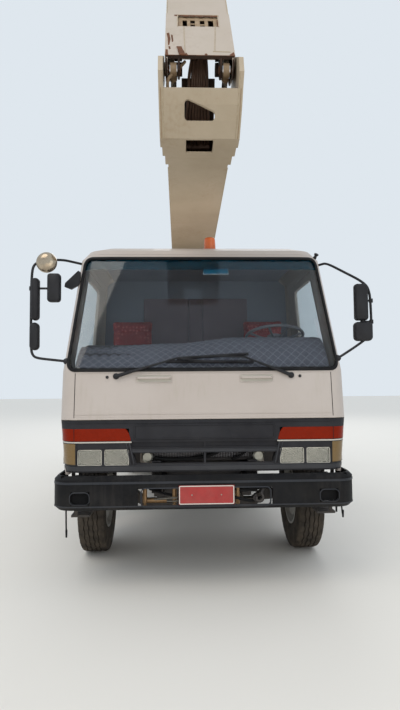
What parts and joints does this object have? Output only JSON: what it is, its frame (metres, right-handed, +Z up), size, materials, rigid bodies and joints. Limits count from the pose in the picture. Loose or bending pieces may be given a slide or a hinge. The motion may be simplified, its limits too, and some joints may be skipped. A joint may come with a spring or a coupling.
{
  "type": "cherry picker truck",
  "caption": "Cab-over flatbed truck with a slewing articulated boom that carries a work basket, with outriggers, steering wheels and opening doors.",
  "frame": {"origin": "on the ground, under the middle of the machine's overall box as parked", "axes": "+Z up; -Y the way the truck drives; +X the driver's side (left-hand drive)"},
  "size_m": [2.804, 9.18, 9.6213],
  "materials": {
    "cab_paint": "satin, chalky white",
    "nose_plastic": "matte dark grey",
    "bumper_paint": "worn dark blue-grey",
    "chassis_paint": "dull black",
    "deck_paint": "worn grey",
    "boom_paint": "weathered cream",
    "rim_paint": "satin light grey",
    "tyre": "matte black",
    "clear_glass": "clear, slightly green",
    "lamp_glass": "clear",
    "orange_lens": "glossy orange",
    "pale_lens": "glossy cream",
    "plate_red": "blank, satin red",
    "trim_black": "matte black",
    "dash_grey": "matte dark grey",
    "seat_fabric": "woven red",
    "hose_rubber": "matte black",
    "rod_chrome": "polished",
    "jack_paint": "worn orange",
    "basket_metal": "dull",
    "steel": "oily"
  },
  "bodies": {
    "chassis": {"frame_rails": "chassis_paint", "front_axle": "chassis_paint", "rear_axle": "chassis_paint", "leaf_springs": "chassis_paint", "driveline": "chassis_paint", "side_tanks": "chassis_paint", "front_bumper": "bumper_paint", "number_plate": "plate_red", "deck": "deck_paint", "outrigger_casings": "boom_paint", "lockers": "boom_paint", "mudguards": "trim_black", "tail_bar": "bumper_paint", "boom_rest": "boom_paint", "cab_shell": "cab_paint", "cab_glass": "clear_glass", "grille": "nose_plastic", "headlamps": "lamp_glass", "turn_lamps": "orange_lens", "corner_lamps": "pale_lens", "dashboard": "dash_grey", "seats": "seat_fabric", "steering_wheel": "trim_black", "mirrors": "trim_black", "wipers": "trim_black", "beacon": "orange_lens"},
    "door_left": {"door_left": "cab_paint", "door_glass_left": "clear_glass"},
    "door_right": {"door_right": "cab_paint", "door_glass_right": "clear_glass"},
    "steer_left": {"knuckle_left": "chassis_paint"},
    "steer_right": {"knuckle_right": "chassis_paint"},
    "turret": {"turntable": "boom_paint"},
    "lower_boom": {"lower_boom": "boom_paint", "elbow_hoses": "hose_rubber"},
    "upper_boom": {"upper_boom": "boom_paint"},
    "fly": {"fly_section": "boom_paint"},
    "basket": {"basket": "basket_metal"},
    "lift_barrel": {"lift_barrel": "chassis_paint"},
    "lift_rod": {"lift_rod": "rod_chrome"},
    "elbow_barrels": {"elbow_barrels": "chassis_paint"},
    "elbow_rods": {"elbow_rods": "rod_chrome"},
    "wheel_front_left": {"tyre_front_left": "tyre", "rim_front_left": "rim_paint"},
    "beam_front_left": {"beam_front_left": "boom_paint"},
    "jack_front_left": {"jack_front_left": "jack_paint"},
    "wheel_front_right": {"tyre_front_right": "tyre", "rim_front_right": "rim_paint"},
    "beam_front_right": {"beam_front_right": "boom_paint"},
    "jack_front_right": {"jack_front_right": "jack_paint"},
    "wheel_rear_left": {"tyre_rear_left": "tyre", "rim_rear_left": "rim_paint"},
    "beam_rear_left": {"beam_rear_left": "boom_paint"},
    "jack_rear_left": {"jack_rear_left": "jack_paint"},
    "wheel_rear_right": {"tyre_rear_right": "tyre", "rim_rear_right": "rim_paint"},
    "beam_rear_right": {"beam_rear_right": "boom_paint"},
    "jack_rear_right": {"jack_rear_right": "jack_paint"}
  },
  "joints": [
    {"name": "steering_left", "type": "hinge", "parent": "chassis", "child": "steer_left", "pos_m": [0.8, -2.49, 0.51], "axis": [0, 0, 1], "range_deg": [-30, 30]},
    {"name": "steering_right", "type": "hinge", "parent": "chassis", "child": "steer_right", "pos_m": [-0.8, -2.49, 0.51], "axis": [0, 0, 1], "range_deg": [-30, 30]},
    {"name": "wheel_front_left_spin", "type": "hinge", "parent": "steer_left", "child": "wheel_front_left", "pos_m": [1, -2.49, 0.51], "axis": [1, 0, 0], "continuous": true},
    {"name": "wheel_front_right_spin", "type": "hinge", "parent": "steer_right", "child": "wheel_front_right", "pos_m": [-1, -2.49, 0.51], "axis": [1, 0, 0], "continuous": true},
    {"name": "wheel_rear_left_spin", "type": "hinge", "parent": "chassis", "child": "wheel_rear_left", "pos_m": [0.9, 2.31, 0.51], "axis": [1, 0, 0], "continuous": true},
    {"name": "wheel_rear_right_spin", "type": "hinge", "parent": "chassis", "child": "wheel_rear_right", "pos_m": [-0.9, 2.31, 0.51], "axis": [1, 0, 0], "continuous": true},
    {"name": "door_left_hinge", "type": "hinge", "parent": "chassis", "child": "door_left", "pos_m": [1.136, -3.375, 1.8], "axis": [0, 0, -1], "range_deg": [0, 70]},
    {"name": "door_right_hinge", "type": "hinge", "parent": "chassis", "child": "door_right", "pos_m": [-1.136, -3.375, 1.8], "axis": [0, 0, 1], "range_deg": [0, 70]},
    {"name": "slew", "type": "hinge", "parent": "chassis", "child": "turret", "pos_m": [-0.045, 1.98, 1.335], "axis": [0, 0, 1], "continuous": true},
    {"name": "lift", "type": "hinge", "parent": "turret", "child": "lower_boom", "pos_m": [0, 2.28, 3.05], "axis": [-1, 0, 0], "range_deg": [0, 70]},
    {"name": "elbow", "type": "hinge", "parent": "lower_boom", "child": "upper_boom", "pos_m": [0, -4.17, 3.85], "axis": [1, 0, 0], "range_deg": [-45, 75]},
    {"name": "fly_slide", "type": "slide", "parent": "upper_boom", "child": "fly", "axis": [0, 0.5736, 0.8192], "range_m": [0, 2.2]},
    {"name": "basket_level", "type": "hinge", "parent": "fly", "child": "basket", "pos_m": [0, -0.62039, 8.8723], "axis": [1, 0, 0], "range_deg": [-50, 50]},
    {"name": "lift_barrel_hinge", "type": "hinge", "parent": "turret", "child": "lift_barrel", "pos_m": [0, 1.63, 1.465], "axis": [-1, 0, 0], "range_deg": [0, 14.02]},
    {"name": "lift_rod_slide", "type": "slide", "parent": "lift_barrel", "child": "lift_rod", "axis": [0, -0.1972, 0.9804], "range_m": [0, 1.0079]},
    {"name": "elbow_barrel_hinge", "type": "hinge", "parent": "lower_boom", "child": "elbow_barrels", "pos_m": [0, -3.13, 3.4], "axis": [-1, 0, 0], "range_deg": [-4.7, 2.9]},
    {"name": "elbow_rod_slide", "type": "slide", "parent": "elbow_barrels", "child": "elbow_rods", "axis": [0, -0.9658, 0.2591], "range_m": [-0.2871, 0.1734]},
    {"name": "beam_front_left_slide", "type": "slide", "parent": "chassis", "child": "beam_front_left", "axis": [1, 0, 0], "range_m": [0, 0.7]},
    {"name": "jack_front_left_slide", "type": "slide", "parent": "beam_front_left", "child": "jack_front_left", "axis": [0, 0, -1], "range_m": [0, 0.32]},
    {"name": "beam_front_right_slide", "type": "slide", "parent": "chassis", "child": "beam_front_right", "axis": [-1, 0, 0], "range_m": [0, 0.7]},
    {"name": "jack_front_right_slide", "type": "slide", "parent": "beam_front_right", "child": "jack_front_right", "axis": [0, 0, -1], "range_m": [0, 0.32]},
    {"name": "beam_rear_left_slide", "type": "slide", "parent": "chassis", "child": "beam_rear_left", "axis": [1, 0, 0], "range_m": [0, 0.7]},
    {"name": "jack_rear_left_slide", "type": "slide", "parent": "beam_rear_left", "child": "jack_rear_left", "axis": [0, 0, -1], "range_m": [0, 0.32]},
    {"name": "beam_rear_right_slide", "type": "slide", "parent": "chassis", "child": "beam_rear_right", "axis": [-1, 0, 0], "range_m": [0, 0.7]},
    {"name": "jack_rear_right_slide", "type": "slide", "parent": "beam_rear_right", "child": "jack_rear_right", "axis": [0, 0, -1], "range_m": [0, 0.32]}
  ],
  "couplings": [
    {"joint": "steering_right", "follows": "steering_left", "ratio": 1},
    {"joint": "lift_barrel_hinge", "follows": "lift", "ratio": 0.1975},
    {"joint": "lift_rod_slide", "follows": "lift", "m_per_rad": 0.82087},
    {"joint": "elbow_barrel_hinge", "follows": "elbow", "ratio": -0.06},
    {"joint": "elbow_rod_slide", "follows": "elbow", "m_per_rad": -0.217}
  ]
}
